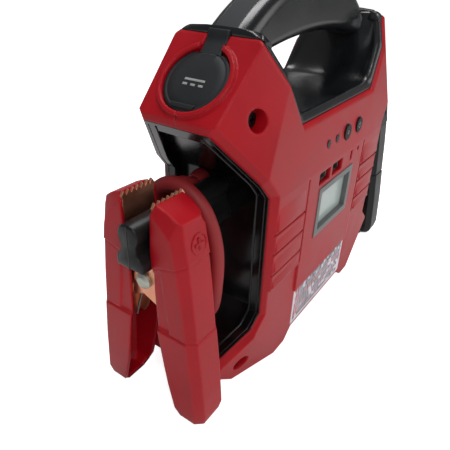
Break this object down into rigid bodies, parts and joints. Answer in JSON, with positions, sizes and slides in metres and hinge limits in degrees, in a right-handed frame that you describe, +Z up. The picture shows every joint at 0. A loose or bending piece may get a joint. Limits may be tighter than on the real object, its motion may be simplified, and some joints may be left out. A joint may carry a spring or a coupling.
{
  "type": "jump starter pack",
  "caption": "Portable car jump starter with a carry handle, display, charging ports, capped 12 V socket and parked battery clamps on cables",
  "frame": {"origin": "centre of the footprint, at the floor", "axes": "+Z up, -Y the front face with the display, -X the side with the 12 V socket and the red clamp"},
  "size_m": [0.302, 0.0805, 0.229],
  "materials": {
    "red_plastic": "moulded red ABS with a fine grain",
    "gloss_black": "polished black",
    "black_plastic": "satin black moulding",
    "soft_grip": "matte soft-touch grip",
    "rubber": "matte rubber",
    "steel": "nickel-plated steel",
    "clear_lens": "clear lens",
    "bright_reflector": "metallised",
    "circuit_board": "solder resist",
    "grey_plastic": "grey frame",
    "display": "grey-green display",
    "button_black": "black button",
    "dark_lens": "smoked indicator",
    "label_film": "printed film",
    "cell_wrap": "shrink wrap",
    "nickel": "nickel strip",
    "lead_sheath": "silicone sheath",
    "black_screw": "black oxide",
    "copper": "copper-plated",
    "red_sheath": "matte red sheath",
    "black_sheath": "matte black sheath"
  },
  "bodies": {
    "case": {"front_shell": "red_plastic", "rear_shell": "red_plastic", "left_tray": "gloss_black", "right_tray": "gloss_black", "left_dock_post": "black_plastic", "right_dock_post": "black_plastic", "hand_liner": "gloss_black", "carry_handle": "gloss_black", "handle_grip": "soft_grip", "socket_holder": "black_plastic", "lamp_holder": "black_plastic", "socket_barrel": "steel", "socket_contact": "black_plastic", "cap_anchor": "rubber", "lamp_lens": "clear_lens", "lamp_reflector": "bright_reflector", "lamp_board": "circuit_board", "lcd_bezel": "grey_plastic", "lcd_screen": "display", "lcd_module": "black_plastic", "button_switches": "black_plastic", "indicator_leds": "dark_lens", "charge_light": "dark_lens", "usb_port_one": "steel", "usb_port_two": "steel", "charge_port": "steel", "main_board": "circuit_board", "charge_board": "circuit_board", "rating_label": "label_film", "battery_cells": "cell_wrap", "cell_tray": "black_plastic", "cell_cover": "black_plastic", "bus_bars": "nickel", "power_leads": "lead_sheath", "front_screws": "black_screw", "rear_screws": "black_screw", "left_cable": "red_sheath", "left_cable_gland": "red_sheath", "right_cable": "black_sheath", "right_cable_gland": "rubber"},
    "cap": {"socket_cap": "rubber"},
    "power_key": {"power_button": "button_black"},
    "light_key": {"light_button": "button_black"},
    "left_clamp": {"left_clamp_rivet": "steel", "left_clamp_spring": "steel", "left_clamp_crimp": "copper"},
    "left_front_lever": {"left_clamp_front_cover": "red_plastic", "left_clamp_front_jaw": "copper"},
    "left_rear_lever": {"left_clamp_rear_cover": "red_plastic", "left_clamp_rear_jaw": "copper"},
    "right_clamp": {"right_clamp_rivet": "steel", "right_clamp_spring": "steel", "right_clamp_crimp": "copper"},
    "right_front_lever": {"right_clamp_front_cover": "black_plastic", "right_clamp_front_jaw": "copper"},
    "right_rear_lever": {"right_clamp_rear_cover": "black_plastic", "right_clamp_rear_jaw": "copper"}
  },
  "joints": [
    {"name": "cap_hinge", "type": "hinge", "parent": "case", "child": "cap", "pos_m": [-0.08571, 0, 0.19577], "axis": [0, 1, 0], "range_deg": [0, 90]},
    {"name": "power_press", "type": "slide", "parent": "case", "child": "power_key", "axis": [0, 1, 0], "range_m": [0, 0.001]},
    {"name": "light_press", "type": "slide", "parent": "case", "child": "light_key", "axis": [0, 1, 0], "range_m": [0, 0.001]},
    {"name": "left_clamp_off", "type": "slide", "parent": "case", "child": "left_clamp", "axis": [-1, 0, 0], "range_m": [0, 0.035], "deforming": ["left_cable"]},
    {"name": "left_front_squeeze", "type": "hinge", "parent": "left_clamp", "child": "left_front_lever", "pos_m": [-0.1325, 0, 0.092], "axis": [1, 0, 0], "range_deg": [0, 12], "deforming": ["left_clamp_spring"]},
    {"name": "left_rear_squeeze", "type": "hinge", "parent": "left_clamp", "child": "left_rear_lever", "pos_m": [-0.1325, 0, 0.092], "axis": [1, 0, 0], "range_deg": [-12, 0]},
    {"name": "right_clamp_off", "type": "slide", "parent": "case", "child": "right_clamp", "axis": [1, 0, 0], "range_m": [0, 0.035], "deforming": ["right_cable"]},
    {"name": "right_front_squeeze", "type": "hinge", "parent": "right_clamp", "child": "right_front_lever", "pos_m": [0.1325, 0, 0.092], "axis": [1, 0, 0], "range_deg": [0, 12], "deforming": ["right_clamp_spring"]},
    {"name": "right_rear_squeeze", "type": "hinge", "parent": "right_clamp", "child": "right_rear_lever", "pos_m": [0.1325, 0, 0.092], "axis": [1, 0, 0], "range_deg": [-12, 0]}
  ],
  "couplings": [
    {"joint": "left_rear_squeeze", "follows": "left_front_squeeze", "ratio": -1},
    {"joint": "right_rear_squeeze", "follows": "right_front_squeeze", "ratio": -1}
  ]
}
